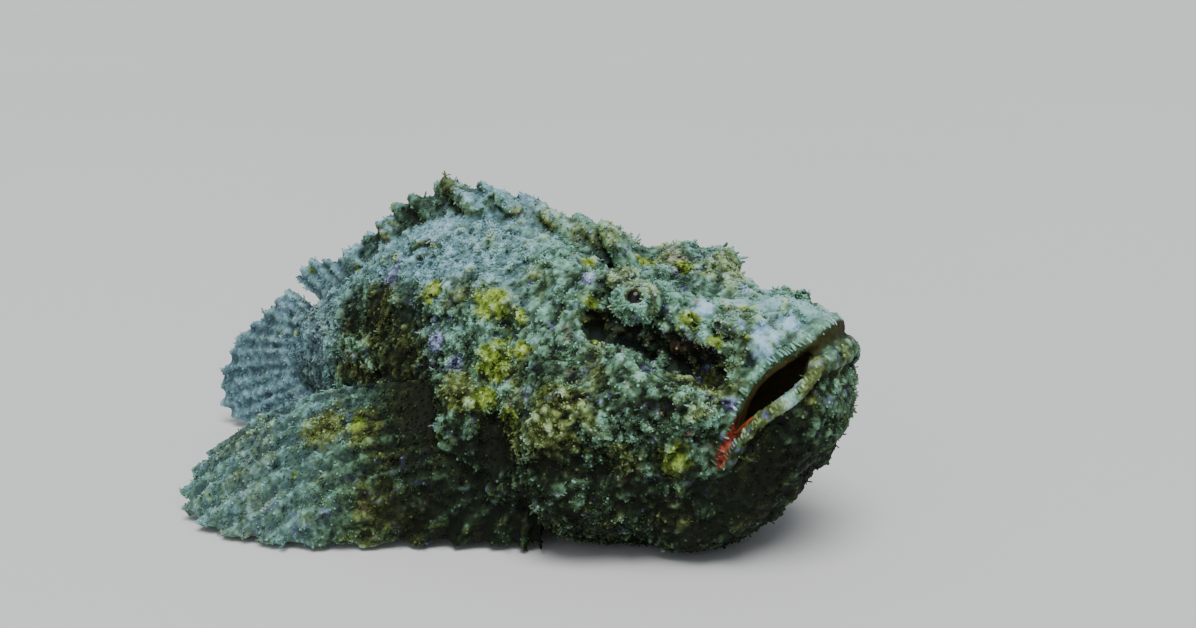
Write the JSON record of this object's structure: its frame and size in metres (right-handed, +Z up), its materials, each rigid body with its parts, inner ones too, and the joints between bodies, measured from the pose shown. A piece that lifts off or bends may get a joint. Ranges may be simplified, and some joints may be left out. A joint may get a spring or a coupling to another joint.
{
  "type": "stonefish",
  "caption": "Life-size reef stonefish resting on its belly, upturned mouth ajar, warty skin, fan-shaped pectoral fins spread on the floor.",
  "frame": {"origin": "on the floor, under the middle of the box round the whole fish", "axes": "+X forward to the mouth, +Y to the fish's left, +Z up"},
  "size_m": [0.3204, 0.1932, 0.1321],
  "materials": {
    "skin": "matt, warty and slightly slimy, olive and grey-green with pale and yellow-green patches",
    "jaw_skin": "matt dark olive with pale warts",
    "fin_skin": "matt grey-green with pale warts",
    "eye": "wet and dark, with a narrow brown iris"
  },
  "bodies": {
    "root": {"head": "skin", "trunk": "skin", "tail": "skin", "jaw": "jaw_skin", "eye_left": "eye", "eye_right": "eye", "pectoral_fin_left": "fin_skin", "pectoral_fin_right": "fin_skin", "pelvic_fin_left": "fin_skin", "pelvic_fin_right": "fin_skin", "caudal_fin": "fin_skin", "anal_fin": "fin_skin", "dorsal_fin": "fin_skin"}
  },
  "joints": []
}
